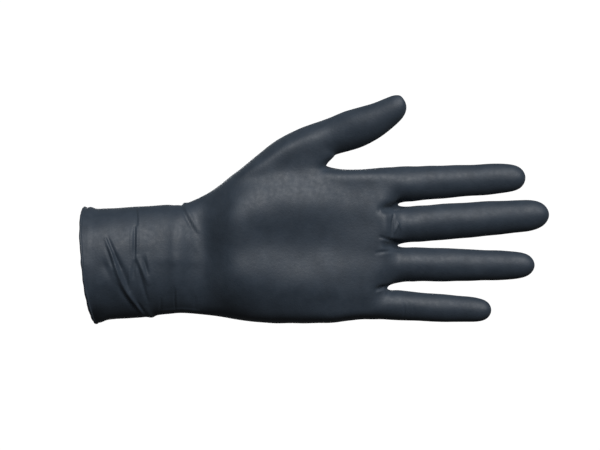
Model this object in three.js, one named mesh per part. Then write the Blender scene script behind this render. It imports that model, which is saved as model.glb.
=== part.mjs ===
// A nitrile exam glove in the form it has on a left hand: one dipped film with a palm, four fingers, a thumb
// and a straight cuff that ends in a rolled bead. Millimetres. +X runs from the cuff's opening to the
// fingertips, +Z towards the thumb, and the palm faces -Y. The origin is the middle of the cuff's opening.
import * as THREE from "three";

// The film
const FILM_WALL = 1.0;
const BEAD_DIAMETER = 2.2;

// The cuff, from its opening to the narrowest part of the wrist
const CUFF_LENGTH = 47;
const CUFF_STEPS = 11; // rows of the film's mesh along it
const OPENING_BREADTH = 57;
const OPENING_DEPTH = 46;
const OPENING_SLANT = 2.8; // how far its edge slopes back on the thumb's side and forward on the other
const OPENING_LEAN = 2.5; // how far it slopes back on the palm's side and forward on the other
const WRIST_BREADTH = 56;
const WRIST_DEPTH = 35;
const WRIST_RISE = 0.31; // share of HAND_RISE by which the wrist's middle lies above the opening's

// The palm. Its breadth at the knuckles is that of the four fingers side by side with their gaps.
const PALM_DEPTH = 26; // behind the finger roots
const HAND_RISE = 11.5; // the middle of the knuckles above the middle of the opening
const WEB_FRONT = 1.2; // how far the webs' edges lie behind their middle, on the palm's side
const WEB_BACK = 4.0; // and on the back

const PALM_LENGTH = 112; // from the wrist to the middle finger's root
const FINGER_LENGTH = 76.6; // the middle finger's
const FINGER_WIDTH = 18.4; // the middle finger's

// The fingers from the little finger up. root: where the finger leaves the palm, as a share of PALM_LENGTH.
// length: a share of FINGER_LENGTH. The rest, but splay, are shares of FINGER_WIDTH. gap: to the finger
// below. base, joint and pad: widths at the root, the middle joint and the tip's pad. back: how far the root
// stands towards the back of the hand. curl: how far the tip comes forward. splay: degrees from +X towards
// the thumb.
const FINGERS = [
  { root: 0.92, length: 0.725, gap: 0, base: 0.848, joint: 0.793, pad: 0.707, back: 0.01, curl: 0.33, splay: -3.2 },
  { root: 0.98, length: 0.927, gap: 0.207, base: 0.97, joint: 0.91, pad: 0.81, back: 0.08, curl: 0.38, splay: -0.4 },
  { root: 1.0, length: 1.0, gap: 0.109, base: 1.0, joint: 1.0, pad: 0.897, back: 0.115, curl: 0.33, splay: 4.3 },
  { root: 0.98, length: 0.87, gap: 0.125, base: 1.005, joint: 0.9, pad: 0.83, back: 0.075, curl: 0.27, splay: 3.4 },
];

const THUMB_LENGTH = 47.2;
const THUMB_WIDTH = 19;
const THUMB_DEPTH = 18;
const THUMB_SPLAY = 25.7; // degrees from +X, away from the fingers
const THUMB_FORWARD = 12; // how far its tip stands in front of its root
const THUMB_ROOT_FORWARD = 3;
const THUMB_ROOT_RISE = 11.8; // its axis above the palm's upper side, at the web
const THUMB_ROOT_BACK = 1.8; // and this far back from the web towards the wrist
const THENAR_BOW = 3.7; // how far the outline from wrist to thumb bows outwards
const THENAR_BOW_LATE = 1.3; // 1 has the bow deepest halfway, and more has it deepest nearer the thumb
const WEB_BOW = 1.5; // how far the edge from web to thumb bows inwards
const WEB_BOW_LATE = 0.55;

// Rows across the palm, wrist to finger roots. along: share of that way. spread: share of the way from the
// wrist's breadth to the knuckles'. rise: share of HAND_RISE. flat: share of the way from the wrist's depth
// to the palm's. thenar, heel, hollow: shares of the SWELLS. open: how far the thumb's root holds the upper
// side open.
const PALM_ROWS = [
  { along: 0.11, spread: 0.25, rise: 0.48, flat: 0.1, thenar: 0.05, heel: 0.1, hollow: 0.0, open: 0.0 },
  { along: 0.23, spread: 0.74, rise: 0.81, flat: 0.25, thenar: 0.85, heel: 0.95, hollow: 0.2, open: 0.3 },
  { along: 0.37, spread: 1.1, rise: 0.97, flat: 0.42, thenar: 1.0, heel: 1.0, hollow: 0.7, open: 1.0 },
  { along: 0.51, spread: 1.14, rise: 0.97, flat: 0.58, thenar: 0.85, heel: 0.85, hollow: 1.0, open: 0.9 },
  { along: 0.67, spread: 1.1, rise: 0.94, flat: 0.74, thenar: 0.45, heel: 0.6, hollow: 0.9, open: 0.4 },
  { along: 0.77, spread: 1.0, rise: 0.88, flat: 0.87, thenar: 0.1, heel: 0.3, hollow: 0.5, open: 0.1 },
  { along: 0.88, spread: 0.96, rise: 0.95, flat: 1.0, thenar: 0.0, heel: 0.1, hollow: 0.1, open: 0.0 },
];

// What swells or, below 0, hollows the palm's side. height: a share of PALM_DEPTH. at and spread: shares of
// the palm's breadth from its lower side.
const SWELLS = [
  { name: "thenar", height: 0.26, at: 0.74, spread: 0.24 }, // the ball of the thumb
  { name: "heel", height: 0.2, at: 0.26, spread: 0.24 }, // the pad below the little finger
  { name: "hollow", height: -0.09, at: 0.5, spread: 0.2 },
];
const CUFF_POWER = 2.1; // 2 makes a cross-section an oval, and more makes it boxier
const PALM_POWER = 3.4;
const PALM_SHAPED = 0.9; // share of the palm's length at which its section is no longer the cuff's
const OPEN_FROM = 0.8; // share of the breadth from which the thumb's root holds the section wide open
const OPEN_FULLY = 0.97;
const OPEN_FRONT = 0.86; // how full the section is there in front
const OPEN_BACK = 0.7; // and behind
const THUMB_FIRST_ROW = 1; // the thumb grows from the palm's upper side between these rows of PALM_ROWS
const THUMB_LAST_ROW = 4;

// Rings along a finger. along: share of its length. round: share of the width that the tip's rounding leaves.
// deep: depth as a share of the width.
const FINGER_RINGS = [
  { along: 0.05, round: 1.0, deep: 1.08 },
  { along: 0.2, round: 1.0, deep: 1.0 },
  { along: 0.42, round: 1.0, deep: 0.95 },
  { along: 0.63, round: 1.0, deep: 0.9 },
  { along: 0.81, round: 1.0, deep: 0.88 },
  { along: 0.92, round: 0.84, deep: 0.86 },
  { along: 0.975, round: 0.52, deep: 0.86 },
];
const ROOT_DEEP = 1.12; // the same at the root
const WEB_DEEP = 0.3536; // half the web's depth as a share of the finger's: its corners lie at 45 degrees
const JOINT_ALONG = 0.42;
const PAD_ALONG = 0.82;

// Rings along the thumb. wide, deep: shares of THUMB_WIDTH and THUMB_DEPTH. shift: share of the width towards
// +Z.
const THUMB_RINGS = [
  { along: 0.12, wide: 1.0, deep: 1.0, shift: 0.02 },
  { along: 0.36, wide: 1.07, deep: 0.98, shift: -0.045 },
  { along: 0.59, wide: 0.93, deep: 0.88, shift: -0.085 },
  { along: 0.79, wide: 0.78, deep: 0.74, shift: -0.07 },
  { along: 0.92, wide: 0.61, deep: 0.56, shift: -0.01 },
  { along: 0.98, wide: 0.37, deep: 0.34, shift: 0.03 },
];
const THUMB_FAN = 3; // steps from the palm's side to the thumb's first ring

// Folds of the loose film round the cuff, each from one end to the other. along: the ends as shares of
// CUFF_LENGTH. turn: the ends in degrees round the cuff, 0 on the palm's side, 90 on the thumb's and 180 on
// the back. ridge and width: shares of FOLD_HEIGHT and FOLD_WIDTH, where a ridge below 0 is a groove.
const FOLD_HEIGHT = 1.5;
const FOLD_WIDTH = 2.6;
const FOLD_ENDS = 0.04; // share of half a wave that is cut off at each end of a fold
const FOLDS = [
  { along: [0.11, 0.14], turn: [115, -115], ridge: 0.35, width: 0.8 },
  { along: [0.17, 0.6], turn: [38, -78], ridge: 1.0, width: 0.85 },
  { along: [0.26, 0.7], turn: [34, -70], ridge: -0.6, width: 0.75 },
  { along: [0.13, 0.3], turn: [20, -45], ridge: -0.4, width: 0.8 },
  { along: [0.5, 0.48], turn: [110, 6], ridge: -0.6, width: 0.8 },
  { along: [0.42, 0.4], turn: [70, -20], ridge: 0.45, width: 0.8 },
  { along: [0.5, 0.63], turn: [12, -30], ridge: 0.55, width: 0.8 },
  { along: [0.98, 1.16], turn: [105, 5], ridge: 0.6, width: 0.9 },
  { along: [0.91, 1.08], turn: [105, 10], ridge: -0.5, width: 0.8 },
  { along: [0.68, 0.66], turn: [-60, -130], ridge: 0.6, width: 1.0 },
  { along: [0.3, 0.52], turn: [165, 235], ridge: 0.8, width: 1.0 },
  { along: [0.66, 0.6], turn: [110, 200], ridge: 0.6, width: 0.9 },
  { along: [0.86, 0.95], turn: [150, 225], ridge: 0.6, width: 1.0 },
];

const COLUMNS = 20; // vertices round the palm: each finger's front, back and sides
const HALF = COLUMNS / 2;
const FIT_ROUNDS = 4;
const BEAD_STEPS = 6;

const { lerp, clamp, smoothstep, degToRad } = THREE.MathUtils;
const last = (list) => list[list.length - 1];
const sumOf = (rows, column) => rows.reduce((total, row) => total + row[column], 0);

const fingers = FINGERS.map(({ root, length, splay, ...shares }) => {
  const sizes = Object.entries(shares).map(([name, share]) => [name, share * FINGER_WIDTH]);
  return { root: root * PALM_LENGTH, length: length * FINGER_LENGTH, splay, ...Object.fromEntries(sizes) };
});

// The four fingers stand side by side, so their widths and gaps give the palm's breadth and each one's
// middle.
const breadthOf = (list) => sumOf(list, "gap") + sumOf(list, "base");
const knuckleBreadth = breadthOf(fingers);
const knuckleLow = HAND_RISE - knuckleBreadth / 2;
const fingerMiddles = fingers.map(({ base }, k) => knuckleLow + breadthOf(fingers.slice(0, k + 1)) - base / 2);
const knuckleHigh = knuckleLow + knuckleBreadth;
const webs = fingers.slice(1).map((upper, k) => ({
  root: (upper.root + fingers[k].root) / 2,
  base: (upper.base + fingers[k].base) / 2,
  back: (upper.back + fingers[k].back) / 2,
  middle: fingerMiddles[k + 1] - (upper.base + upper.gap) / 2,
}));

// The cage is a coarse mesh of quads whose corners lie on the glove's surface.
const cage = { points: [], faces: [] };

function addPoint(x, y, z) {
  return cage.points.push(new THREE.Vector3(x, y, z)) - 1;
}

// Quads between two rings of as many points, both in the order lower side, palm side, upper side, back.
function joinRings(first, second, skip = () => false) {
  first.forEach((corner, j) => {
    const next = (j + 1) % first.length;
    if (!skip(j)) cage.faces.push([corner, second[j], second[next], first[next]]);
  });
}

// Closes a ring with quads round a middle point.
function capRing(ring, tip) {
  for (let j = 0; j < ring.length; j += 2) {
    cage.faces.push([tip, ring[j], ring[j + 1], ring[(j + 2) % ring.length]].reverse());
  }
}

// Where the palm's columns cross its breadth, 0 at the lower side and 1 at the upper: evenly round an oval at
// the cuff, and one for each finger's middle and each web at the knuckles.
const evenShares = Array.from({ length: HALF + 1 }, (_, j) => (1 - Math.cos((Math.PI * j) / HALF)) / 2);
const CORNER_SHARE = 0.146; // of a finger's width, where a ring of eight has its corners
const knuckleHeights = fingers.flatMap((finger, k) => [
  k === 0 ? knuckleLow + finger.base * CORNER_SHARE : webs[k - 1].middle,
  fingerMiddles[k],
]);
knuckleHeights.push(knuckleHigh - last(fingers).base * CORNER_SHARE);
const knuckleShares = [0, ...knuckleHeights.map((z) => (z - knuckleLow) / knuckleBreadth), 1];

// How far from the wrist the finger roots lie at a share of the palm's breadth.
function rootDistance(share) {
  const stops = [
    { at: 0, root: fingers[0].root },
    ...fingers.map((finger, k) => ({ at: knuckleShares[2 + 2 * k], root: finger.root })),
    { at: 1, root: last(fingers).root },
  ];
  const upper = Math.max(1, stops.findIndex((stop) => share <= stop.at));
  const [a, b] = [stops[upper - 1], stops[upper]];
  return b.at === a.at ? b.root : lerp(a.root, b.root, (share - a.at) / (b.at - a.at));
}

// The cross-section's fullness at a share of its breadth: an oval for power 2, boxier above.
function fullness(share, power) {
  return Math.pow(Math.max(0, 1 - Math.pow(Math.abs(2 * share - 1), power)), 1 / power);
}

const bump = (share, middle, spread) => Math.exp(-(((share - middle) / spread) ** 2));

// A ring of points round the cuff or the palm.
function sectionRing({ reach, breadth, middle, depth, backset, full, shares, relief }) {
  return Array.from({ length: COLUMNS }, (_, j) => {
    const share = shares[j <= HALF ? j : COLUMNS - j];
    const side = j === 0 || j === HALF ? 0 : j < HALF ? -1 : 1;
    const palmSide = side < 0 ? relief(share) : 0;
    const y = side * (depth / 2 + palmSide) * full(share, side);
    return addPoint(reach(share, y), backset + y, middle + breadth * (share - 0.5));
  });
}

function cuffRing(along) {
  const waist = smoothstep(along, 0, 1);
  const breadth = lerp(OPENING_BREADTH, WRIST_BREADTH, waist);
  const depth = lerp(OPENING_DEPTH, WRIST_DEPTH, waist);
  return sectionRing({
    reach: (share, y) => {
      const slope = OPENING_LEAN * ((2 * y) / depth) - OPENING_SLANT * (2 * share - 1);
      return lerp(BEAD_DIAMETER / 2 + slope, CUFF_LENGTH, along);
    },
    breadth,
    middle: HAND_RISE * WRIST_RISE * along,
    depth,
    backset: 0,
    full: (share) => fullness(share, CUFF_POWER),
    shares: evenShares,
    relief: () => 0,
  });
}

function palmRing(row) {
  const { along, spread, rise, flat, open } = row;
  const weight = smoothstep(along, 0, PALM_SHAPED);
  return sectionRing({
    reach: (share) => CUFF_LENGTH + along * rootDistance(share),
    breadth: lerp(WRIST_BREADTH, knuckleBreadth, spread),
    middle: HAND_RISE * rise,
    depth: lerp(WRIST_DEPTH, PALM_DEPTH, flat),
    backset: (along * sumOf(fingers, "back")) / fingers.length,
    full: (share, side) => {
      const full = fullness(share, lerp(CUFF_POWER, PALM_POWER, weight ** 2));
      const held = side < 0 ? OPEN_FRONT : OPEN_BACK;
      return Math.max(full, lerp(full, held, open * smoothstep(share, OPEN_FROM, OPEN_FULLY)));
    },
    shares: evenShares.map((share, j) => lerp(share, knuckleShares[j], weight)),
    relief: (share) =>
      SWELLS.reduce((total, { name, height, at, spread }) => {
        return total + height * PALM_DEPTH * row[name] * bump(share, at, spread);
      }, 0),
  });
}

// The ring at the finger roots: each finger's front, back and outer sides, and the webs' front and back
// edges.
function rootRing() {
  const ring = new Array(COLUMNS);
  const put = (j, root, y, z) => (ring[j] = addPoint(CUFF_LENGTH + root, y, z));
  fingers.forEach(({ root, base, back }, k) => {
    const half = (base * ROOT_DEEP) / 2;
    put(2 + 2 * k, root, back - half, fingerMiddles[k]);
    put(COLUMNS - 2 - 2 * k, root, back + half, fingerMiddles[k]);
  });
  webs.forEach(({ root, base, back, middle }, k) => {
    const half = base * ROOT_DEEP * WEB_DEEP;
    put(3 + 2 * k, root - WEB_FRONT, back - half, middle);
    put(COLUMNS - 3 - 2 * k, root - WEB_BACK, back + half, middle);
  });
  const ends = [
    { finger: fingers[0], side: 0, step: 1, edge: knuckleLow, corner: knuckleHeights[0] },
    { finger: last(fingers), side: HALF, step: -1, edge: knuckleHigh, corner: last(knuckleHeights) },
  ];
  for (const { finger, side, step, edge, corner } of ends) {
    const { root, base, back } = finger;
    const half = base * ROOT_DEEP * WEB_DEEP;
    put(side, root, back, edge);
    put(side + step, root, back - half, corner);
    put((side - step + COLUMNS) % COLUMNS, root, back + half, corner);
  }
  return ring;
}

// A finger: rings of eight from its part of the root ring to its tip.
function addFinger(finger, k, roots, webPoints) {
  const splay = degToRad(finger.splay);
  const centreAt = (along) => [
    CUFF_LENGTH + finger.root + finger.length * along * Math.cos(splay),
    finger.back - finger.curl * along ** 2,
    fingerMiddles[k] + finger.length * along * Math.sin(splay),
  ];
  const widthAt = (along) =>
    along < JOINT_ALONG
      ? lerp(finger.base, finger.joint, smoothstep(along, 0, JOINT_ALONG))
      : lerp(finger.joint, finger.pad, smoothstep(along, JOINT_ALONG, PAD_ALONG));
  const lower = k === 0 ? roots[0] : webPoints[k - 1];
  const upper = k === fingers.length - 1 ? roots[HALF] : webPoints[k];
  const front = roots.slice(1 + 2 * k, 4 + 2 * k);
  const back = roots.slice(COLUMNS - 3 - 2 * k, COLUMNS - 2 * k);
  let ring = [lower, ...front, upper, ...back];
  for (const { along, round, deep } of FINGER_RINGS) {
    const [x, y, z] = centreAt(along);
    const width = widthAt(along) * round;
    const next = ring.map((_, j) => {
      const turn = (2 * Math.PI * j) / ring.length;
      const side = (-Math.cos(turn) * width) / 2;
      const out = (-Math.sin(turn) * width * deep) / 2;
      return addPoint(x - side * Math.sin(splay), y + out, z + side * Math.cos(splay));
    });
    joinRings(ring, next);
    ring = next;
  }
  capRing(ring, addPoint(...centreAt(1)));
}

// The thumb: rings of ten that fan out from the palm's upper side and then follow its own axis.
function addThumb(rows) {
  const near = rows[THUMB_FIRST_ROW];
  const far = rows[THUMB_LAST_ROW];
  const between = rows.slice(THUMB_FIRST_ROW, THUMB_LAST_ROW + 1);
  const front = between.map((row) => row[HALF - 1]).reverse();
  const back = between.map((row) => row[HALF + 1]);
  const base = [far[HALF], ...front, near[HALF], ...back];
  const splay = degToRad(THUMB_SPLAY);
  const web = cage.points[far[HALF]];
  const root = { x: web.x - THUMB_ROOT_BACK, y: -THUMB_ROOT_FORWARD, z: web.z + THUMB_ROOT_RISE };
  const centreAt = (along, shift = 0) =>
    new THREE.Vector3(
      root.x + THUMB_LENGTH * along * Math.cos(splay) - THUMB_WIDTH * shift * Math.sin(splay),
      root.y - THUMB_FORWARD * along,
      root.z + THUMB_LENGTH * along * Math.sin(splay) + THUMB_WIDTH * shift * Math.cos(splay),
    );
  const ringPoints = ({ along, wide, deep, shift }) =>
    base.map((_, j) => {
      const turn = (2 * Math.PI * j) / base.length;
      const side = (-Math.cos(turn) * wide * THUMB_WIDTH) / 2;
      const out = (-Math.sin(turn) * deep * THUMB_DEPTH) / 2;
      const offset = new THREE.Vector3(-side * Math.sin(splay), out, side * Math.cos(splay));
      return centreAt(along, shift).add(offset);
    });
  let ring = base;
  const first = ringPoints(THUMB_RINGS[0]);
  for (let step = 1; step < THUMB_FAN; step++) {
    const share = step / THUMB_FAN;
    const next = base.map((corner, j) => {
      const outer = (1 - Math.cos((2 * Math.PI * j) / base.length)) / 2;
      const bowed = Math.sin(Math.PI * share ** lerp(WEB_BOW_LATE, THENAR_BOW_LATE, outer));
      const bow = bowed * lerp(WEB_BOW, THENAR_BOW, outer);
      const p = cage.points[corner].clone().lerp(first[j], share);
      return addPoint(p.x - bow * Math.sin(splay), p.y, p.z + bow * Math.cos(splay));
    });
    joinRings(ring, next);
    ring = next;
  }
  for (const row of THUMB_RINGS) {
    const next = ringPoints(row).map((p) => addPoint(p.x, p.y, p.z));
    joinRings(ring, next);
    ring = next;
  }
  const tip = centreAt(1, last(THUMB_RINGS).shift);
  capRing(ring, addPoint(tip.x, tip.y, tip.z));
}

function buildCage() {
  const cuffRows = Array.from({ length: CUFF_STEPS + 1 }, (_, i) => cuffRing(i / CUFF_STEPS));
  const palmRows = PALM_ROWS.map(palmRing);
  const roots = rootRing();
  const rows = [...cuffRows, ...palmRows, roots];
  const thumbStart = cuffRows.length + THUMB_FIRST_ROW;
  const thumbEnd = cuffRows.length + THUMB_LAST_ROW;
  rows.slice(1).forEach((row, i) => {
    const underThumb = i >= thumbStart && i < thumbEnd;
    joinRings(rows[i], row, (j) => underThumb && (j === HALF - 1 || j === HALF));
  });
  const webPoints = webs.map(({ root, back, middle }) => addPoint(CUFF_LENGTH + root, back, middle));
  fingers.forEach((finger, k) => addFinger(finger, k, roots, webPoints));
  addThumb(palmRows);
  dropUnused();
}

// The points of the palm's upper side that the thumb's root covers are in no face.
function dropUnused() {
  const used = new Set(cage.faces.flat());
  const place = new Map([...used].sort((a, b) => a - b).map((old, i) => [old, i]));
  cage.points = cage.points.filter((_, i) => used.has(i));
  cage.faces = cage.faces.map((face) => face.map((i) => place.get(i)));
}

// For each point, its neighbours along edges, the far corners of its faces, and its neighbours on the free
// rim.
function neighbours({ points, faces }) {
  const around = points.map(() => ({ edges: new Set(), corners: [], rim: [] }));
  const sides = new Map();
  for (const face of faces) {
    face.forEach((a, i) => {
      const b = face[(i + 1) % 4];
      around[a].edges.add(b);
      around[b].edges.add(a);
      around[a].corners.push(face[(i + 2) % 4]);
      const key = a < b ? `${a}_${b}` : `${b}_${a}`;
      sides.set(key, [...(sides.get(key) ?? []), [a, b]]);
    });
  }
  for (const uses of sides.values()) {
    if (uses.length > 1) continue;
    const [a, b] = uses[0];
    around[a].rim.push(b);
    around[b].rim.push(a);
  }
  return around;
}

const sum = (list) => list.reduce((total, p) => total.add(p), new THREE.Vector3());

// Where each point of a quad mesh lands on its smooth Catmull-Clark surface.
function limitPoints(mesh, around = neighbours(mesh)) {
  return mesh.points.map((p, i) => {
    const pick = (indices) => sum([...indices].map((j) => mesh.points[j]));
    const { edges, corners, rim } = around[i];
    if (rim.length) return p.clone().multiplyScalar(4).add(pick(rim)).divideScalar(6);
    const n = edges.size;
    const total = p.clone().multiplyScalar(n * n).addScaledVector(pick(edges), 4).add(pick(corners));
    return total.divideScalar(n * (n + 5));
  });
}

// Moves the cage's corners until its smooth surface passes through where they were.
function fitCage(mesh) {
  const around = neighbours(mesh);
  let points = mesh.points.map((p) => p.clone());
  for (let round = 0; round < FIT_ROUNDS; round++) {
    const limits = limitPoints({ points, faces: mesh.faces }, around);
    points = points.map((p, i) => p.add(mesh.points[i]).sub(limits[i]));
  }
  return { points, faces: mesh.faces };
}

// One step of Catmull-Clark subdivision.
function subdivide(mesh) {
  const around = neighbours(mesh);
  const points = [];
  const facePoint = mesh.faces.map((face) => {
    return points.push(sum(face.map((i) => mesh.points[i])).divideScalar(4)) - 1;
  });
  const edgePoint = new Map();
  const facesOfEdge = new Map();
  const keyOf = (a, b) => (a < b ? `${a}_${b}` : `${b}_${a}`);
  mesh.faces.forEach((face, f) => {
    face.forEach((a, i) => {
      const key = keyOf(a, face[(i + 1) % 4]);
      facesOfEdge.set(key, [...(facesOfEdge.get(key) ?? []), f]);
    });
  });
  for (const [key, touching] of facesOfEdge) {
    const ends = key.split("_").map((i) => mesh.points[i]);
    const inner = touching.length > 1 ? touching.map((f) => points[facePoint[f]]) : [];
    const all = [...ends, ...inner];
    edgePoint.set(key, points.push(sum(all).divideScalar(all.length)) - 1);
  }
  const cornerPoint = mesh.points.map((p, i) => {
    const pick = (indices) => sum([...indices].map((j) => mesh.points[j]));
    const { edges, corners, rim } = around[i];
    const n = edges.size;
    const moved = rim.length
      ? p.clone().multiplyScalar(6).add(pick(rim)).divideScalar(8)
      : p
          .clone()
          .multiplyScalar(1 - 7 / (4 * n))
          .addScaledVector(pick(edges), 3 / (2 * n * n))
          .addScaledVector(pick(corners), 1 / (4 * n * n));
    return points.push(moved) - 1;
  });
  const faces = mesh.faces.flatMap((face, f) =>
    face.map((a, i) => [
      cornerPoint[a],
      edgePoint.get(keyOf(a, face[(i + 1) % 4])),
      facePoint[f],
      edgePoint.get(keyOf(a, face[(i + 3) % 4])),
    ]),
  );
  return { points, faces };
}

function normalsOf({ points, faces }) {
  const normals = points.map(() => new THREE.Vector3());
  for (const [a, b, c, d] of faces) {
    const across = points[c].clone().sub(points[a]);
    const along = points[d].clone().sub(points[b]);
    const normal = across.cross(along);
    for (const i of [a, b, c, d]) normals[i].add(normal);
  }
  return normals.map((normal) => normal.normalize());
}

// How far a fold lifts the film at a point: highest along its line, fading out at its ends.
function foldLift({ along, turn, ridge, width }, p) {
  const radius = OPENING_BREADTH / 2;
  const place = (x, angle) => new THREE.Vector2(x, angle * radius);
  const from = place(along[0] * CUFF_LENGTH, degToRad(turn[0]));
  const line = place(along[1] * CUFF_LENGTH, degToRad(turn[1])).sub(from);
  const middle = HAND_RISE * WRIST_RISE * Math.min(1, p.x / CUFF_LENGTH);
  const angle = Math.atan2(p.z - middle, -p.y);
  const halfway = degToRad((turn[0] + turn[1]) / 2);
  const nearest = angle - 2 * Math.PI * Math.round((angle - halfway) / (2 * Math.PI));
  const point = place(p.x, nearest).sub(from);
  const share = clamp(point.dot(line) / line.lengthSq(), 0, 1);
  const distance = point.distanceTo(line.clone().multiplyScalar(share));
  const fade = Math.sqrt(Math.sin(Math.PI * lerp(FOLD_ENDS, 1 - FOLD_ENDS, share)));
  return FOLD_HEIGHT * ridge * fade * bump(distance, 0, FOLD_WIDTH * width);
}

// The free rim's points in order, starting anywhere.
function rimLoop(mesh) {
  const around = neighbours(mesh);
  const loop = [around.findIndex(({ rim }) => rim.length)];
  for (let next = around[loop[0]].rim[0]; next !== loop[0]; ) {
    const before = last(loop);
    loop.push(next);
    next = around[next].rim.find((i) => i !== before);
  }
  return loop;
}

// The film's two faces, joined round the opening by the bead that is rolled outwards from its edge.
function filmShell(skin) {
  const normals = normalsOf(skin);
  const lifted = skin.points.map((p, i) => {
    const lift = FOLDS.reduce((total, fold) => total + foldLift(fold, p), 0);
    return p.clone().addScaledVector(normals[i], lift);
  });
  const outer = { points: lifted, faces: skin.faces };
  const outward = normalsOf(outer);
  const points = [...lifted, ...lifted.map((p, i) => p.clone().addScaledVector(outward[i], -FILM_WALL))];
  const count = lifted.length;
  const faces = [...skin.faces, ...skin.faces.map((face) => face.map((i) => i + count).reverse())];

  const radius = BEAD_DIAMETER / 2;
  const seat = Math.asin(clamp((FILM_WALL - radius) / radius, -1, 1));
  const away = new THREE.Vector3(-1, 0, 0);
  const loop = rimLoop(skin);
  let ring = loop;
  for (let step = 1; step <= BEAD_STEPS + 1; step++) {
    const turn = lerp(Math.PI - seat, -Math.PI / 2, step / (BEAD_STEPS + 1));
    const next = loop.map((i) => {
      const centre = lifted[i].clone().addScaledVector(away, radius * Math.cos(seat));
      centre.addScaledVector(outward[i], radius - FILM_WALL);
      centre.addScaledVector(away, radius * Math.cos(turn)).addScaledVector(outward[i], radius * Math.sin(turn));
      return points.push(centre) - 1;
    });
    faces.push(...loop.map((_, j) => [ring[j], next[j], next[(j + 1) % loop.length], ring[(j + 1) % loop.length]]));
    ring = next;
  }
  const inner = loop.map((i) => i + count);
  faces.push(...loop.map((_, j) => [ring[j], inner[j], inner[(j + 1) % loop.length], ring[(j + 1) % loop.length]]));
  return { points, faces };
}

// Each quad as two triangles along its shorter diagonal.
function geometryOf({ points, faces }) {
  const triangles = faces.flatMap(([a, b, c, d]) =>
    points[a].distanceTo(points[c]) < points[b].distanceTo(points[d])
      ? [a, b, c, a, c, d]
      : [a, b, d, b, c, d],
  );
  const geometry = new THREE.BufferGeometry().setFromPoints(points);
  geometry.setIndex(triangles);
  geometry.computeVertexNormals();
  return geometry;
}

buildCage();
const smooth = subdivide(fitCage(cage));
const skin = { points: limitPoints(smooth), faces: smooth.faces };

const nitrile = new THREE.MeshStandardMaterial({ color: 0x272c32, roughness: 0.55, metalness: 0 });
const glove = new THREE.Mesh(geometryOf(filmShell(skin)), nitrile);
glove.name = "glove";

const part = new THREE.Group();
part.add(glove);

export default part;
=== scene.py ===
import math
from types import SimpleNamespace

import bmesh
import bpy
import numpy as np
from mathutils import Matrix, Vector, noise


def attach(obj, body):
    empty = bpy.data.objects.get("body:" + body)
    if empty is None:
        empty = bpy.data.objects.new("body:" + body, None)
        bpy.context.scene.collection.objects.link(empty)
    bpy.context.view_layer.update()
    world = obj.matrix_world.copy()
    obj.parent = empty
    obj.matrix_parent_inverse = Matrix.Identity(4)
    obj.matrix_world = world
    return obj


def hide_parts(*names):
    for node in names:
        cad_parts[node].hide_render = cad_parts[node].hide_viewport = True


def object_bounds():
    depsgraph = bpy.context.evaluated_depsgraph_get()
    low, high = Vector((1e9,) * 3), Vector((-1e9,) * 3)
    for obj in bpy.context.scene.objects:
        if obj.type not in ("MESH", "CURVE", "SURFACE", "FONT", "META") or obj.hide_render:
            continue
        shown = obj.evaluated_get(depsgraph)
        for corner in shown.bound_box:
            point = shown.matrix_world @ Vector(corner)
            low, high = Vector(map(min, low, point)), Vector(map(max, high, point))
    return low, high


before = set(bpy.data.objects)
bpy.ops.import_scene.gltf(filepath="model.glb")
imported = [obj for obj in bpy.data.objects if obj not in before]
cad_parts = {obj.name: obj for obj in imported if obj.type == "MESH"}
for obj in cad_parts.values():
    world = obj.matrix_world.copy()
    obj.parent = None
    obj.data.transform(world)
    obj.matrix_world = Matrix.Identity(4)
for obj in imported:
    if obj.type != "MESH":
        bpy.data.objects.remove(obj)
cad_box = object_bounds()

MM = 0.001


def table(columns, *rows):
    """Rows of numbers under one line of column names."""
    names = columns.split()
    return [SimpleNamespace(**dict(zip(names, row))) for row in rows]


# The cuff, from its opening to the narrowest part of the wrist
CUFF_LENGTH = 47
OPENING_BREADTH = 57
OPENING_DEPTH = 46
OPENING_SLANT = 2.8  # how far the edge slopes back on the thumb's side and forward on the other
OPENING_LEAN = 2.5  # how far it slopes back on the palm's side and forward on the other
EDGE_INSET = 1.1  # the film's edge lies this far inside the opening, which is the bead's end
WRIST_BREADTH = 56
WRIST_DEPTH = 35
WRIST_RISE = 0.31  # share of HAND_RISE by which the wrist's middle lies above the opening's
CUFF_STEPS = 8

# The palm. along: a share of the way from the wrist to the finger roots. spread, flat: shares of the way
# from the wrist's breadth to the knuckles' and from the wrist's depth to the palm's. rise: a share of
# HAND_RISE. thenar, heel, hollow, wrist: how much of each swell a row has. open: how far its thumb side
# is held open for the thumb.
PALM_DEPTH = 26
HAND_RISE = 11.5  # the middle of the knuckles above the middle of the opening
WEB_FRONT = 1.2  # how far the webs' front edges lie back towards the wrist
WEB_BACK = 4.0  # the same for their back edges
PALM_ROWS = table(
    "along spread rise flat thenar heel hollow wrist open",
    (0.11, 0.25, 0.48, 0.10, 0.0, 0.0, 0.0, 1.0, 0.0),
    (0.23, 0.74, 0.81, 0.12, 1.0, 1.1, 0.0, 0.0, 0.3),
    (0.37, 1.10, 0.97, 0.35, 1.0, 1.1, 0.6, 0.0, 1.0),
    (0.51, 1.14, 0.97, 0.58, 0.85, 0.85, 1.0, 0.0, 0.9),
    (0.67, 1.10, 0.94, 0.74, 0.45, 0.6, 0.9, 0.0, 0.4),
    (0.77, 1.00, 0.88, 0.87, 0.1, 0.3, 0.5, 0.0, 0.1),
    (0.88, 0.96, 0.95, 1.00, 0.0, 0.1, 0.1, 0.0, 0.0),
    (0.94, 0.98, 0.98, 1.20, 0.0, 0.0, 0.0, 0.0, 0.0),
)
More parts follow.
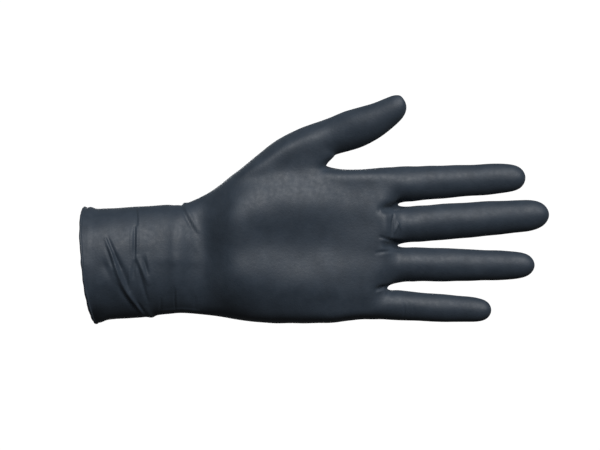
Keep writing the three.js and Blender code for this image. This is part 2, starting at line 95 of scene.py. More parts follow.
# The swells of the palm's side. height: a share of PALM_DEPTH. at, spread: shares of the palm's breadth.
SWELLS = table(
    "name height at spread",
    ("thenar", 0.26, 0.74, 0.24),
    ("heel", 0.2, 0.26, 0.24),
    ("hollow", -0.09, 0.5, 0.2),
    ("wrist", -0.14, 0.6, 0.8),
)
CUFF_POWER = 2.1  # how boxy the cuff's cross-section is: 2 is an oval
PALM_POWER = 3.8
PALM_SHAPED = 0.9  # the share of the palm's length at which it is fully that boxy
OPEN_FROM = 0.8  # the thumb's side is held open from this share of the palm's breadth
OPEN_FULLY = 0.97
OPEN_FRONT = 0.86  # to this share of half the depth in front
OPEN_BACK = 0.7
THUMB_FIRST_ROW = 1  # the thumb grows out between these rows of the palm
THUMB_LAST_ROW = 4

# The fingers, from the little finger up. root: a share of PALM_LENGTH. length: a share of FINGER_LENGTH.
# Shares of FINGER_WIDTH: the gap below a finger, its widths at the base, the joint and the pad, how far
# back its root stands and how far its tip curls forward. splay: degrees.
PALM_LENGTH = 112
FINGER_LENGTH = 76.6
FINGER_WIDTH = 18.4
FINGERS = table(
    "root length gap base joint pad back curl splay",
    (0.92, 0.725, 0.0, 0.848, 0.793, 0.707, 0.01, 0.33, -3.2),
    (0.98, 0.927, 0.207, 0.97, 0.91, 0.81, 0.08, 0.38, -0.4),
    (1.0, 1.0, 0.109, 1.0, 1.0, 0.897, 0.115, 0.33, 4.3),
    (0.98, 0.87, 0.125, 1.005, 0.9, 0.83, 0.075, 0.27, 3.4),
)
# along: a share of the finger's length. round: a share of its width there. deep: its depth as a share of
# that.
FINGER_RINGS = table(
    "along round deep",
    (0.05, 1.0, 1.08),
    (0.12, 1.0, 1.04),
    (0.2, 1.0, 1.0),
    (0.42, 1.0, 0.95),
    (0.63, 1.0, 0.9),
    (0.81, 1.0, 0.88),
    (0.92, 0.84, 0.86),
    (0.975, 0.52, 0.86),
)
ROOT_DEEP = 1.12  # the depth at the finger roots as a share of the width
WEB_DEEP = 0.3536  # how far before and behind its middle a web's edges stand, as a share of that depth
JOINT_ALONG = 0.42  # where on a finger its joint is, and its pad
PAD_ALONG = 0.82

# The thumb. along: a share of its length. wide, deep: shares of its width and depth. shift: how far a
# ring stands aside, as a share of its width.
THUMB_LENGTH = 47.2
THUMB_WIDTH = 19
THUMB_DEPTH = 18
THUMB_SPLAY = math.radians(25.7)
THUMB_FORWARD = 12  # how far its tip stands before its root
THUMB_ROOT_FORWARD = 3  # how far its root stands before the palm's middle
THUMB_ROOT_RISE = 11.8  # how far above the palm's edge, where its web begins
THUMB_ROOT_BACK = 1.8  # how far back from there towards the wrist
THENAR_BOW = 3.7  # how far the skin between palm and thumb bows out on the thumb's outer side
THENAR_BOW_LATE = 1.3  # above 1, more so near the thumb
WEB_BOW = 1.5  # the same on its inner side
WEB_BOW_LATE = 0.55
THUMB_FAN = 3  # steps from the palm to the thumb's first ring
THUMB_RINGS = table(
    "along wide deep shift",
    (0.12, 1.0, 1.0, 0.02),
    (0.36, 1.07, 0.98, -0.045),
    (0.59, 0.93, 0.88, -0.085),
    (0.79, 0.78, 0.74, -0.07),
    (0.92, 0.61, 0.56, -0.01),
    (0.98, 0.37, 0.34, 0.03),
)

# The mesh
COLUMNS = 20  # round the cuff and the palm
HALF = COLUMNS // 2
FIT_ROUNDS = 4
OUTER_LEVELS = 3  # how often the outer face's and the inner face's quads are divided
INNER_LEVELS = 2
FILM_WALL = 0.8

# Where along X the palm's side of the outer face is twice as fine
FINE_ZONES = table(
    "low high",
    (-9, 62),
    (142, 170),
)
FINE_BEHIND = 4  # how far behind the middle that reaches


def lerp(a, b, share):
    return a + (b - a) * share


def smooth_step(value, low, high):
    share = np.clip((value - low) / (high - low), 0, 1)
    return share * share * (3 - 2 * share)


def bump(distance, spread):
    return np.exp(-((distance / spread) ** 2))


def fullness(share, power):
    """Half the depth of a cross-section at a share of its breadth: an oval for power 2, boxier above."""
    return max(0.0, 1 - abs(2 * share - 1) ** power) ** (1 / power)


for finger in FINGERS:
    finger.root *= PALM_LENGTH
    finger.length *= FINGER_LENGTH
    for size in ("gap", "base", "joint", "pad", "back", "curl"):
        setattr(finger, size, getattr(finger, size) * FINGER_WIDTH)

# Where the fingers stand, one beside the other
knuckle_breadth = sum(finger.gap + finger.base for finger in FINGERS)
knuckle_low = HAND_RISE - knuckle_breadth / 2
knuckle_high = knuckle_low + knuckle_breadth
height = knuckle_low
for finger in FINGERS:
    height += finger.gap + finger.base
    finger.middle = height - finger.base / 2
webs = [
    SimpleNamespace(
        root=(lower.root + upper.root) / 2,
        base=(lower.base + upper.base) / 2,
        back=(lower.back + upper.back) / 2,
        middle=upper.middle - (upper.base + upper.gap) / 2,
    )
    for lower, upper in zip(FINGERS, FINGERS[1:])
]

# Where the columns cross the palm's breadth: evenly round an oval at the cuff, by finger and web at the
# knuckles, where the outermost stand this share of a finger's width in
CORNER_SHARE = 0.146
even_shares = [(1 - math.cos(math.pi * j / HALF)) / 2 for j in range(HALF + 1)]
knuckle_heights = [knuckle_low + FINGERS[0].base * CORNER_SHARE]
for k, finger in enumerate(FINGERS):
    knuckle_heights += [finger.middle] + ([webs[k].middle] if k < len(webs) else [])
knuckle_heights.append(knuckle_high - FINGERS[-1].base * CORNER_SHARE)
knuckle_shares = [0] + [(z - knuckle_low) / knuckle_breadth for z in knuckle_heights] + [1]


def root_distance(share):
    """How far from the wrist the finger roots lie at a share of the palm's breadth."""
    at = [0] + [knuckle_shares[2 + 2 * k] for k in range(len(FINGERS))] + [1]
    roots = [FINGERS[0].root] + [finger.root for finger in FINGERS] + [FINGERS[-1].root]
    return float(np.interp(share, at, roots))


class Cage:
    """A coarse mesh of quads whose corners lie on the glove's surface."""

    def __init__(self):
        self.points = []
        self.faces = []

    def add(self, x, y, z):
        self.points.append(np.array([x, y, z], float))
        return len(self.points) - 1

    def join(self, first, second, skipped=()):
        for j, corner in enumerate(first):
            after = (j + 1) % len(first)
            if j not in skipped:
                self.faces.append((corner, second[j], second[after], first[after]))

    def cap(self, ring, tip):
        for j in range(0, len(ring), 2):
            self.faces.append((ring[(j + 2) % len(ring)], ring[j + 1], ring[j], tip))

    def without_loose_points(self):
        used = sorted({i for face in self.faces for i in face})
        place = {old: new for new, old in enumerate(used)}
        faces = [tuple(place[i] for i in face) for face in self.faces]
        return np.array([self.points[i] for i in used]), faces


def section_ring(cage, reach, breadth, middle, depth, backset, full, shares, relief):
    ring = []
    for j in range(COLUMNS):
        share = shares[j if j <= HALF else COLUMNS - j]
        side = 0 if j in (0, HALF) else (-1 if j < HALF else 1)
        swell = relief(share) if side < 0 else 0
        y = side * (depth / 2 + swell) * full(share, side)
        ring.append(cage.add(reach(share, y), backset + y, middle + breadth * (share - 0.5)))
    return ring


def cuff_ring(cage, along):
    waist = smooth_step(along, 0, 1)
    depth = lerp(OPENING_DEPTH, WRIST_DEPTH, waist)

    def reach(share, y):
        slope = OPENING_LEAN * (2 * y / depth) - OPENING_SLANT * (2 * share - 1)
        return lerp(EDGE_INSET + slope, CUFF_LENGTH, along)

    return section_ring(
        cage,
        reach=reach,
        breadth=lerp(OPENING_BREADTH, WRIST_BREADTH, waist),
        middle=HAND_RISE * WRIST_RISE * along,
        depth=depth,
        backset=0,
        full=lambda share, side: fullness(share, CUFF_POWER),
        shares=even_shares,
        relief=lambda share: 0,
    )


def palm_ring(cage, row):
    weight = float(smooth_step(row.along, 0, PALM_SHAPED))

    def full(share, side):
        plain = fullness(share, lerp(CUFF_POWER, PALM_POWER, weight))
        held = OPEN_FRONT if side < 0 else OPEN_BACK
        return max(plain, lerp(plain, held, row.open * smooth_step(share, OPEN_FROM, OPEN_FULLY)))

    return section_ring(
        cage,
        reach=lambda share, y: CUFF_LENGTH + row.along * root_distance(share),
        breadth=lerp(WRIST_BREADTH, knuckle_breadth, row.spread),
        middle=HAND_RISE * row.rise,
        depth=lerp(WRIST_DEPTH, PALM_DEPTH, row.flat),
        backset=row.along * sum(finger.back for finger in FINGERS) / len(FINGERS),
        full=full,
        shares=[lerp(a, b, weight) for a, b in zip(even_shares, knuckle_shares)],
        relief=lambda share: sum(
            swell.height * PALM_DEPTH * getattr(row, swell.name) * bump(share - swell.at, swell.spread)
            for swell in SWELLS
        ),
    )


def root_ring(cage):
    """The ring at the finger roots: each finger's front, back and outer sides, and the webs' edges."""
    ring = [None] * COLUMNS

    def put(j, root, y, z):
        ring[j % COLUMNS] = cage.add(CUFF_LENGTH + root, y, z)

    for k, finger in enumerate(FINGERS):
        half = finger.base * ROOT_DEEP / 2
        put(2 + 2 * k, finger.root, finger.back - half, finger.middle)
        put(-2 - 2 * k, finger.root, finger.back + half, finger.middle)
    for k, web in enumerate(webs):
        half = web.base * ROOT_DEEP * WEB_DEEP
        put(3 + 2 * k, web.root - WEB_FRONT, web.back - half, web.middle)
        put(-3 - 2 * k, web.root - WEB_BACK, web.back + half, web.middle)
    ends = [
        (FINGERS[0], 0, 1, knuckle_low, knuckle_heights[0]),
        (FINGERS[-1], HALF, -1, knuckle_high, knuckle_heights[-1]),
    ]
    for finger, side, step, edge, corner in ends:
        half = finger.base * ROOT_DEEP * WEB_DEEP
        put(side, finger.root, finger.back, edge)
        put(side + step, finger.root, finger.back - half, corner)
        put(side - step, finger.root, finger.back + half, corner)
    return ring


def add_finger(cage, finger, k, roots, web_points):
    splay = math.radians(finger.splay)

    def centre(along):
        return np.array(
            [
                CUFF_LENGTH + finger.root + finger.length * along * math.cos(splay),
                finger.back - finger.curl * along**2,
                finger.middle + finger.length * along * math.sin(splay),
            ]
        )

    def width(along):
        if along < JOINT_ALONG:
            return lerp(finger.base, finger.joint, smooth_step(along, 0, JOINT_ALONG))
        return lerp(finger.joint, finger.pad, smooth_step(along, JOINT_ALONG, PAD_ALONG))

    lower = roots[0] if k == 0 else web_points[k - 1]
    upper = roots[HALF] if k == len(FINGERS) - 1 else web_points[k]
    front = roots[1 + 2 * k : 4 + 2 * k]
    back = roots[COLUMNS - 3 - 2 * k : COLUMNS - 2 * k]
    ring = [lower, *front, upper, *back]
    for row in FINGER_RINGS:
        across = width(row.along) * row.round
        following = []
        for j in range(len(ring)):
            turn = 2 * math.pi * j / len(ring)
            side = -math.cos(turn) * across / 2
            out = -math.sin(turn) * across * row.deep / 2
            following.append(
                cage.add(*centre(row.along) + [-side * math.sin(splay), out, side * math.cos(splay)])
            )
        cage.join(ring, following)
        ring = following
    cage.cap(ring, cage.add(*centre(1)))


def add_thumb(cage, rows):
    near, far = rows[THUMB_FIRST_ROW], rows[THUMB_LAST_ROW]
    between = rows[THUMB_FIRST_ROW : THUMB_LAST_ROW + 1]
    front = [row[HALF - 1] for row in reversed(between)]
    back = [row[HALF + 1] for row in between]
    base = [far[HALF], *front, near[HALF], *back]
    web = cage.points[far[HALF]]
    ahead = np.array([math.cos(THUMB_SPLAY), 0, math.sin(THUMB_SPLAY)])
    aside = np.array([-math.sin(THUMB_SPLAY), 0, math.cos(THUMB_SPLAY)])
    root = np.array([web[0] - THUMB_ROOT_BACK, -THUMB_ROOT_FORWARD, web[2] + THUMB_ROOT_RISE])

    def centre(along, shift=0.0):
        forward = np.array([0, -THUMB_FORWARD * along, 0])
        return root + forward + ahead * THUMB_LENGTH * along + aside * THUMB_WIDTH * shift

    def ring_points(row):
        turns = [2 * math.pi * j / len(base) for j in range(len(base))]
        return [
            centre(row.along, row.shift)
            - aside * math.cos(turn) * row.wide * THUMB_WIDTH / 2
            - np.array([0, math.sin(turn) * row.deep * THUMB_DEPTH / 2, 0])
            for turn in turns
        ]

    ring = base
    first = ring_points(THUMB_RINGS[0])
    for step in range(1, THUMB_FAN):
        share = step / THUMB_FAN
        following = []
        for j, corner in enumerate(base):
            outer = (1 - math.cos(2 * math.pi * j / len(base))) / 2
            bowed = math.sin(math.pi * share ** lerp(WEB_BOW_LATE, THENAR_BOW_LATE, outer))
            bow = bowed * lerp(WEB_BOW, THENAR_BOW, outer)
            following.append(cage.add(*lerp(cage.points[corner], first[j], share) + aside * bow))
        cage.join(ring, following)
        ring = following
    for row in THUMB_RINGS:
        following = [cage.add(*point) for point in ring_points(row)]
        cage.join(ring, following)
        ring = following
    cage.cap(ring, cage.add(*centre(1, THUMB_RINGS[-1].shift)))


def glove_cage():
    cage = Cage()
    cuff_rows = [cuff_ring(cage, i / CUFF_STEPS) for i in range(CUFF_STEPS + 1)]
    palm_rows = [palm_ring(cage, row) for row in PALM_ROWS]
    roots = root_ring(cage)
    rows = [*cuff_rows, *palm_rows, roots]
    thumb_rows = range(len(cuff_rows) + THUMB_FIRST_ROW, len(cuff_rows) + THUMB_LAST_ROW)
    for i, (first, second) in enumerate(zip(rows, rows[1:])):
        cage.join(first, second, skipped=(HALF - 1, HALF) if i in thumb_rows else ())
    web_points = [cage.add(CUFF_LENGTH + web.root, web.back, web.middle) for web in webs]
    for k, finger in enumerate(FINGERS):
        add_finger(cage, finger, k, roots, web_points)
    add_thumb(cage, palm_rows)
    return cage.without_loose_points()


# Folds, creases and pads on the palm's side, seen from the front. Each is a ridge, or a groove where
# height is below 0, between two ends and bent aside in its middle. gentle, steep: how wide its flanks
# are, to the right and to the left as the line runs from its first end.
FRONT_FOLDS = table(
    "x z to_x to_z bend height gentle steep",
    # the cuff's long diagonal ridge, the grooves on both its sides and the hollow before it
    (9.2, 13.9, 16.2, -6.0, 0.3, 0.75, 0.8, 0.7),
    (14.0, 0.0, 28.3, -24.9, -1.4, 1.0, 1.1, 1.0),
    (10.3, 14.7, 17.1, -1.0, 0.0, -0.8, 0.7, 0.8),
    (14.5, 5.1, 21.4, -12.2, 0.3, -0.9, 1.2, 1.5),
    (25.1, -18.7, 28.3, -23.6, 0.0, -0.6, 0.8, 0.8),
    (15.6, -9.6, 25.6, -22.8, -0.7, -0.6, 1.3, 1.0),
    (9.9, 9.2, 13.0, -0.5, 0.0, -0.6, 0.7, 0.7),
    (8.5, 2.1, 12.0, -7.0, 0.0, -0.5, 1.8, 1.6),
    # the upright crease, the step in it and the ridge that it turns into
    (23.8, 30.0, 24.9, 20.5, 0.3, -0.5, 0.5, 0.5),
    (25.0, 30.0, 26.1, 20.5, 0.3, 0.3, 0.7, 1.2),
    (23.9, 20.0, 23.9, 4.6, 0.0, -0.8, 0.6, 0.5),
    (25.1, 20.0, 25.1, 4.0, 0.0, 0.5, 0.7, 1.2),
    (22.0, 18.2, 22.0, 6.6, 0.0, 0.25, 0.5, 0.5),
    (24.0, 3.5, 23.6, -5.6, 0.0, -0.6, 1.2, 0.9),
    (24.9, 4.6, 30.6, -9.1, 0.0, 0.8, 0.8, 1.4),
    (25.2, 1.5, 30.2, -17.7, 0.0, -0.7, 1.0, 0.9),
    (21.4, -1.0, 21.2, -11.1, 0.0, 0.35, 0.7, 0.7),
    (28.2, 4.0, 30.5, -4.1, 0.2, -0.5, 0.7, 0.7),
    (30.1, 6.1, 31.4, -2.0, 0.0, 0.35, 0.8, 1.0),
    # the soft edge from there to the wrist
    (31.8, 3.4, 56.0, 2.4, 0.0, 0.35, 3.0, 4.0),
    # the fold at the wrist, which fades into a second one
    (46.1, 32.2, 54.6, 16.8, -0.3, -0.6, 0.7, 0.7),
    (47.9, 32.0, 55.8, 17.3, -0.1, 0.65, 0.7, 1.3),
    (50.7, 15.2, 55.6, 7.1, 0.0, 0.35, 0.6, 0.8),
    # small creases along the lower side
    (44.1, -11.1, 44.0, -21.9, 0.0, -0.4, 0.5, 0.5),
    (45.1, -11.6, 45.0, -21.9, 0.0, 0.25, 0.6, 0.8),
    (54.4, -15.8, 54.1, -22.0, 0.0, -0.35, 0.5, 0.5),
    (37.1, -16.8, 36.5, -23.4, 0.0, -0.35, 0.6, 0.6),
    (36.8, -23.1, 56.3, -23.1, 0.8, 0.4, 0.5, 0.8),
    # the middle finger's root, with its pad and two short ridges
    (155.6, 26.2, 154.6, 15.1, -0.3, -1.0, 0.5, 0.5),
    (150.8, 25.9, 150.8, 15.6, 0.0, 0.8, 3.0, 2.2),
    (157.7, 21.8, 155.9, 16.9, 0.0, 0.7, 0.5, 0.5),
    (157.4, 22.3, 159.2, 18.7, 0.0, 0.6, 0.5, 0.5),
    # the hollows before the webs and the grooves that fan out from them
    (149.0, 28.5, 161.0, 31.3, -0.5, -2.6, 1.8, 2.6),
    (152.5, 29.6, 161.0, 31.2, 0.0, -1.6, 1.0, 1.2),
    (151.0, 11.0, 161.0, 10.7, 0.0, -2.2, 1.8, 1.8),
    (148.5, 14.6, 158.5, 12.1, 0.0, -1.1, 0.6, 0.7),
    (150.8, 9.5, 159.0, 9.5, 0.0, -0.8, 0.6, 0.6),
    (146.7, 6.7, 159.0, 8.5, 0.0, -0.6, 0.8, 0.8),
    (146.4, -12.3, 152.3, -10.3, 0.0, -0.8, 0.7, 0.7),
    (147.2, -13.6, 151.8, -11.8, 0.0, 0.3, 0.5, 0.5),
    (147.0, -11.4, 154.0, -10.8, 0.0, -1.0, 1.3, 1.3),
    # the hollow under the thumb's web and the swelling along the index finger's root
    (117.0, 46.5, 124.0, 54.0, 0.0, -0.9, 2.4, 2.0),
    (119.0, 47.5, 147.0, 46.5, 0.0, 1.1, 4.5, 2.0),
    # the middle joints
    (189.0, 26.4, 189.6, 20.0, 0.0, -0.5, 0.6, 0.5),
    (190.4, 26.4, 191.0, 20.0, 0.0, 0.2, 0.7, 0.9),
    (187.9, 0.8, 187.9, -3.8, 0.0, -0.25, 0.6, 0.6),
    (160.8, -19.2, 161.0, -26.4, 0.1, -0.3, 0.5, 0.5),
    (163.1, -18.7, 163.3, -25.9, 0.1, -0.3, 0.5, 0.5),
    (165.1, -19.2, 166.1, -25.9, 0.1, -0.25, 0.5, 0.5),
)

# The same round the cuff's sides and back. along: the distance from the opening. turn: degrees round the
# cuff, 0 on the palm's side, 90 on the thumb's and 180 on the back.
CUFF_FOLDS = table(
    "along turn to_along to_turn bend height gentle steep",
    # the edge's two corners
    (0.5, 76, 0.5, 112, 0.0, 1.0, 2.4, 3.0),
    (3.0, -112, 6.5, -74, 0.0, 1.0, 2.6, 2.6),
    # the ends of the diagonal ridge and of the wrist's fold
    (29.5, -66, 34.0, -112, 0.0, 0.8, 1.8, 1.6),
    (45.0, 118, 47.0, 84, 0.0, -0.6, 0.8, 0.8),
    (46.8, 118, 48.6, 84, 0.0, 0.7, 0.8, 1.2),
    # the back
    (14.0, 160, 25.0, 236, 0.8, 0.9, 1.5, 1.1),
    (16.0, 162, 27.0, 232, 0.8, -0.6, 1.1, 1.2),
    (31.0, 112, 28.0, 204, 0.5, 0.7, 1.4, 1.2),
    (32.8, 116, 29.8, 200, 0.5, -0.5, 1.0, 1.0),
    (40.0, 150, 45.0, 228, 0.6, 0.7, 1.6, 1.2),
    (9.0, 190, 12.0, 215, 0.2, -0.5, 1.0, 1.0),
    (51.0, 168, 49.0, 205, 0.2, -0.5, 0.9, 0.9),
)

FADE_END = 0.06  # how much of half a wave is cut from each end of a fold's rise and fall
FADE_POWER = 0.6
FACING_FULLY = 0.4  # the palm's folds fade out where the film faces the front by less than this

# The film's slow unevenness: more where it hangs loose at the cuff
UNEVEN_SIZE = 11.0
UNEVEN_HEIGHT = 0.35
LOOSE_HEIGHT = 0.55
LOOSE_TO = 58.0

# The edge: a rolled bead on a slightly raised band
BEAD_RADIUS = 0.75
BEAD_UNEVEN = 0.16
BEAD_UNEVEN_SIZE = 4
BEAD_TURN = 1.5 * math.pi
BEAD_STEPS = 10
BAND_WIDTH = 2.8
BAND_HEIGHT = 0.45


def pressed(height, distance, gentle, steep):
    """A fold's height at a signed distance from its line."""
    return height * np.where(distance < 0, bump(distance, gentle), bump(distance, steep))


def fold_lift(places, start, end, fold):
    """How far one fold lifts the film at places in its plane: along its line, fading out at both ends."""
    start, end = np.array(start, float), np.array(end, float)
    line = end - start
    length = np.linalg.norm(line)
    ahead = line / length
    aside = np.array([-ahead[1], ahead[0]])
    share = (places - start) @ ahead / length
    inside = np.clip(share, 0, 1)
    past = (share - inside) * length
    across = (places - start) @ aside - fold.bend * np.sin(np.pi * inside)
    fade = np.sin(np.pi * lerp(FADE_END, 1 - FADE_END, inside)) ** FADE_POWER
    return pressed(fold.height, across, fold.gentle, fold.steep) * fade * bump(past, fold.gentle)


def lifted(points, normals):
    """The smooth skin with its folds, creases and unevenness."""
    middle = HAND_RISE * WRIST_RISE * np.clip(points[:, 0] / CUFF_LENGTH, 0, 1)
    turn = np.arctan2(points[:, 2] - middle, -points[:, 1])
    radius = OPENING_BREADTH / 2
    lift = np.zeros(len(points))
    for fold in CUFF_FOLDS:
        centre = math.radians(fold.turn + fold.to_turn) / 2
        nearest = turn - 2 * math.pi * np.round((turn - centre) / (2 * math.pi))
        places = np.stack([points[:, 0], nearest * radius], 1)
        start = (fold.along, math.radians(fold.turn) * radius)
        end = (fold.to_along, math.radians(fold.to_turn) * radius)
        lift += fold_lift(places, start, end, fold)
    facing = smooth_step(-normals[:, 1], 0, FACING_FULLY)
    for fold in FRONT_FOLDS:
        lift += facing * fold_lift(points[:, [0, 2]], (fold.x, fold.z), (fold.to_x, fold.to_z), fold)
    loose = lerp(UNEVEN_HEIGHT, LOOSE_HEIGHT, 1 - smooth_step(points[:, 0], 0, LOOSE_TO))
    lift += loose * np.array([noise.noise(Vector(p / UNEVEN_SIZE)) for p in points])
    lift += BAND_HEIGHT * (1 - smooth_step(points[:, 0], 0, BAND_WIDTH))
    return points + normals * lift[:, None]


def mesh_arrays(mesh):
    count = len(mesh.vertices)
    points = np.empty(count * 3)
    mesh.vertices.foreach_get("co", points)
    normals = np.empty(count * 3, np.float32)
    mesh.vertex_normals.foreach_get("vector", normals)
    return points.reshape(-1, 3), normals.reshape(-1, 3).astype(float)


def set_points(mesh, points):
    mesh.vertices.foreach_set("co", np.asarray(points, float).ravel())
    mesh.update()


class SmoothCage:
    """The cage under a subdivision surface, its corners moved until the surface passes where they were."""

    def __init__(self):
        points, faces = glove_cage()
        mesh = bpy.data.meshes.new("cage")
        mesh.from_pydata(points.tolist(), [], faces)
        self.object = bpy.data.objects.new("cage", mesh)
        bpy.context.scene.collection.objects.link(self.object)
        self.modifier = self.object.modifiers.new("smooth", "SUBSURF")
        corners = points.copy()
        for _ in range(FIT_ROUNDS):
            smooth = self.skin(levels=1)
            corners += points - mesh_arrays(smooth)[0][: len(points)]
            bpy.data.meshes.remove(smooth)
            set_points(mesh, corners)

    def skin(self, levels):
        self.modifier.levels = levels
        bpy.context.view_layer.update()
        evaluated = self.object.evaluated_get(bpy.context.evaluated_depsgraph_get())
        return bpy.data.meshes.new_from_object(evaluated)

    def remove(self):
        bpy.data.objects.remove(self.object)


def refine(mesh):
    """Halves the mesh's edges where the folds are finest."""
    shaped = bmesh.new()
    shaped.from_mesh(mesh)
    for zone in FINE_ZONES:
        inside = {v for v in shaped.verts if zone.low < v.co.x < zone.high and v.co.y < FINE_BEHIND}
        edges = [edge for edge in shaped.edges if inside.issuperset(edge.verts)]
        bmesh.ops.subdivide_edges(shaped, edges=edges, cuts=1, use_grid_fill=True)
    shaped.to_mesh(mesh)
    shaped.free()


def rim_of(shaped):
    """The open rim's vertices in order round the opening."""
    rim = [vertex for vertex in shaped.verts if vertex.is_boundary]
    loop = [max(rim, key=lambda vertex: vertex.co.z)]
    loop.append(next(e.other_vert(loop[0]) for e in loop[0].link_edges if e.is_boundary))
    while True:
        onward = [e.other_vert(loop[-1]) for e in loop[-1].link_edges if e.is_boundary]
        following = next(vertex for vertex in onward if vertex is not loop[-2])
        if following is loop[0]:
            return loop
        loop.append(following)


def roll_bead(shaped, loop):
    """Rolls the film's edge outwards into a bead and returns the bead's last ring, inside the opening."""
    shaped.normal_update()
    outward = {vertex: vertex.normal.copy() for vertex in loop}
    away = Vector((-1, 0, 0))
    ring = loop
    for step in range(1, BEAD_STEPS + 1):
        turn = math.pi - BEAD_TURN * step / BEAD_STEPS
        following = []
        for vertex in loop:
            radius = BEAD_RADIUS + BEAD_UNEVEN * noise.noise(vertex.co / BEAD_UNEVEN_SIZE)
            centre = vertex.co + away * radius
            offset = away * math.cos(turn) * radius + outward[vertex] * math.sin(turn) * radius
            following.append(shaped.verts.new(centre + offset))
        for j in range(len(ring)):
            k = (j + 1) % len(ring)
            shaped.faces.new((ring[j], ring[k], following[k], following[j]))
        ring = following
    return ring


def film_mesh():
    """One closed mesh: the outer face, the bead and a coarser inner face."""
    cage = SmoothCage()
    outer = cage.skin(OUTER_LEVELS)
    refine(outer)
    set_points(outer, lifted(*mesh_arrays(outer)))
    inner = cage.skin(INNER_LEVELS)
    set_points(inner, lifted(*mesh_arrays(inner)))
    points, normals = mesh_arrays(inner)
    set_points(inner, points - normals * FILM_WALL)
    cage.remove()

    shaped = bmesh.new()
    shaped.from_mesh(outer)
    ring = roll_bead(shaped, rim_of(shaped))
    bead_edges = [shaped.edges.get((a, b)) for a, b in zip(ring, ring[1:] + ring[:1])]

    before = set(shaped.verts)
    shaped.from_mesh(inner)
    added = [vertex for vertex in shaped.verts if vertex not in before]
    inner_faces = list({face for vertex in added for face in vertex.link_faces})
    bmesh.ops.reverse_faces(shaped, faces=inner_faces)
    inner_edges = [edge for vertex in added for edge in vertex.link_edges if edge.is_boundary]
    bmesh.ops.bridge_loops(shaped, edges=bead_edges + list(set(inner_edges)))
    bmesh.ops.recalc_face_normals(shaped, faces=shaped.faces)
    bmesh.ops.scale(shaped, vec=(MM, MM, MM), verts=shaped.verts)
    mesh = bpy.data.meshes.new("glove_film")
    shaped.to_mesh(mesh)
    shaped.free()
    mesh.polygons.foreach_set("use_smooth", [True] * len(mesh.polygons))
    return mesh


# The film's surface. Its colour and its dullness drift between these as the noise goes from low to high.
DRIFT_LOW = 0.3
DRIFT_HIGH = 0.7
NITRILE_DARK = (0.018, 0.027, 0.040)
NITRILE_LIGHT = (0.025, 0.036, 0.052)
DULL_LOW = (0.5, 0.5, 0.5)
DULL_HIGH = (0.62, 0.62, 0.62)
COARSE_GRAIN = 0.00008
FINE_GRAIN = 0.00003


def nitrile_material():
    """Matte black dipped film: a fine pebbled grain, slow mottling and a soft sheen."""
    material = bpy.data.materials.new("nitrile")
    material.use_nodes = True
    nodes, links = material.node_tree.nodes, material.node_tree.links
    shader = nodes["Principled BSDF"]
    place = nodes.new("ShaderNodeTexCoord")

    def grain(scale, detail, roughness=0.5):
        texture = nodes.new("ShaderNodeTexNoise")
        texture.inputs["Scale"].default_value = scale
        texture.inputs["Detail"].default_value = detail
        texture.inputs["Roughness"].default_value = roughness
        links.new(place.outputs["Object"], texture.inputs["Vector"])
        return texture.outputs["Fac"]

    def ramp(source, *stops):
        made = nodes.new("ShaderNodeValToRGB")
        made.color_ramp.elements.remove(made.color_ramp.elements[0])
        for at, colour in stops:
            made.color_ramp.elements.new(at).color = (*colour, 1)
        made.color_ramp.elements.remove(made.color_ramp.elements[-1])
        links.new(source, made.inputs["Fac"])
        return made.outputs["Color"]

    def bumped(source, distance, before=None):
        made = nodes.new("ShaderNodeBump")
        made.inputs["Distance"].default_value = distance
        links.new(source, made.inputs["Height"])
        if before is not None:
            links.new(before, made.inputs["Normal"])
        return made.outputs["Normal"]

    mottling = grain(scale=160, detail=4)
    colour = ramp(mottling, (DRIFT_LOW, NITRILE_DARK), (DRIFT_HIGH, NITRILE_LIGHT))
    links.new(colour, shader.inputs["Base Color"])
    dullness = ramp(grain(scale=420, detail=3), (DRIFT_LOW, DULL_LOW), (DRIFT_HIGH, DULL_HIGH))
    links.new(dullness, shader.inputs["Roughness"])
    normal = bumped(grain(scale=900, detail=3), distance=COARSE_GRAIN)
    normal = bumped(grain(scale=2600, detail=2), distance=FINE_GRAIN, before=normal)
    links.new(normal, shader.inputs["Normal"])
    shader.inputs["Specular IOR Level"].default_value = 0.4
    shader.inputs["Sheen Weight"].default_value = 0.12
    shader.inputs["Sheen Roughness"].default_value = 0.5
    shader.inputs["Sheen Tint"].default_value = (0.75, 0.88, 1.0, 1)
    return material


def add_glove():
    glove = bpy.data.objects.new("glove_film", film_mesh())
    bpy.context.scene.collection.objects.link(glove)
    glove.data.materials.append(nitrile_material())
    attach(glove, "root")
    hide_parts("glove")


# The picture: the plane through the glove's middle is this wide, and its centre is here
PICTURE_WIDTH = 0.3077
PICTURE_CENTRE = Vector((0.1077, 0, 0.0208))
LENS = 180
SENSOR = 36


def add_camera():
    camera = bpy.data.cameras.new("camera")
    camera.lens = LENS
    camera.sensor_width = SENSOR
    camera.clip_start = 0.01
    camera.clip_end = 50
    holder = bpy.data.objects.new("camera", camera)
    holder.location = PICTURE_CENTRE - Vector((0, PICTURE_WIDTH * LENS / SENSOR, 0))
    holder.rotation_euler = (math.pi / 2, 0, 0)
    bpy.context.scene.collection.objects.link(holder)
    bpy.context.scene.camera = holder


# Soft lights, each aimed at the picture's centre: where they stand from it, how large and how strong they
# are
LIGHTS = table(
    "name x y z size power",
    ("key", 0.45, -1.0, 0.85, 0.9, 20),
    ("front", -0.35, -1.1, 0.95, 0.8, 7),
    ("back", -0.2, 1.4, 0.0, 0.9, 10),
)
AMBIENT = 0.05
BACKDROP = 1.05
FLOOR_DROP = 0.3
FLOOR_HALF = 3.0
PAPER = (0.85, 0.85, 0.85, 1)


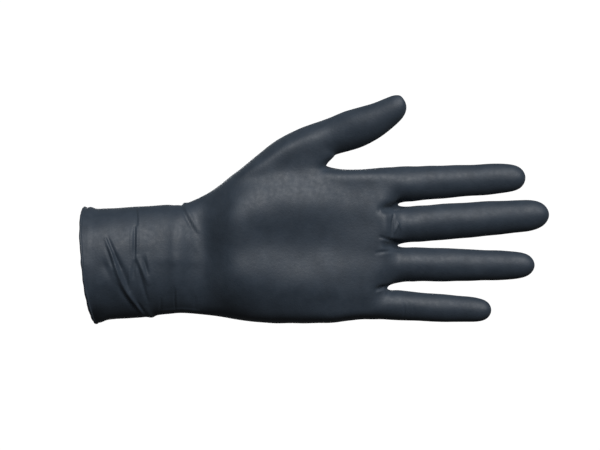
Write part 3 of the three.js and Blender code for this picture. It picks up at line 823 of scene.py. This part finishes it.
def add_lights():
    target = PICTURE_CENTRE
    for row in LIGHTS:
        light = bpy.data.lights.new(row.name, "AREA")
        light.shape = "DISK"
        light.size = row.size
        light.energy = row.power
        holder = bpy.data.objects.new(row.name, light)
        holder.location = target + Vector((row.x, row.y, row.z))
        holder.rotation_euler = (target - holder.location).to_track_quat("-Z", "Y").to_euler()
        bpy.context.scene.collection.objects.link(holder)


def add_surroundings():
    """A white backdrop that only the camera sees, dim ambient light, and a pale floor far below."""
    world = bpy.data.worlds.new("studio")
    world.use_nodes = True
    nodes, links = world.node_tree.nodes, world.node_tree.links
    nodes.clear()
    output = nodes.new("ShaderNodeOutputWorld")
    dim = nodes.new("ShaderNodeBackground")
    dim.inputs["Strength"].default_value = AMBIENT
    white = nodes.new("ShaderNodeBackground")
    white.inputs["Strength"].default_value = BACKDROP
    ways = nodes.new("ShaderNodeLightPath")
    mixed = nodes.new("ShaderNodeMixShader")
    links.new(ways.outputs["Is Camera Ray"], mixed.inputs["Fac"])
    links.new(dim.outputs["Background"], mixed.inputs[1])
    links.new(white.outputs["Background"], mixed.inputs[2])
    links.new(mixed.outputs["Shader"], output.inputs["Surface"])
    for background in (dim, white):
        background.inputs["Color"].default_value = (1, 1, 1, 1)
    bpy.context.scene.world = world

    level = cad_box[0].z - FLOOR_DROP
    mesh = bpy.data.meshes.new("floor")
    corners = [(x * FLOOR_HALF, y * FLOOR_HALF, level) for x, y in ((-1, -1), (1, -1), (1, 1), (-1, 1))]
    mesh.from_pydata(corners, [], [(0, 1, 2, 3)])
    paper = bpy.data.materials.new("paper")
    paper.use_nodes = True
    paper.node_tree.nodes["Principled BSDF"].inputs["Base Color"].default_value = PAPER
    paper.node_tree.nodes["Principled BSDF"].inputs["Roughness"].default_value = 0.9
    mesh.materials.append(paper)
    floor = bpy.data.objects.new("floor", mesh)
    floor.visible_diffuse = False
    floor.visible_glossy = False
    bpy.context.scene.collection.objects.link(floor)


add_glove()
add_camera()
add_lights()
add_surroundings()
bpy.context.scene.view_settings.view_transform = "Standard"
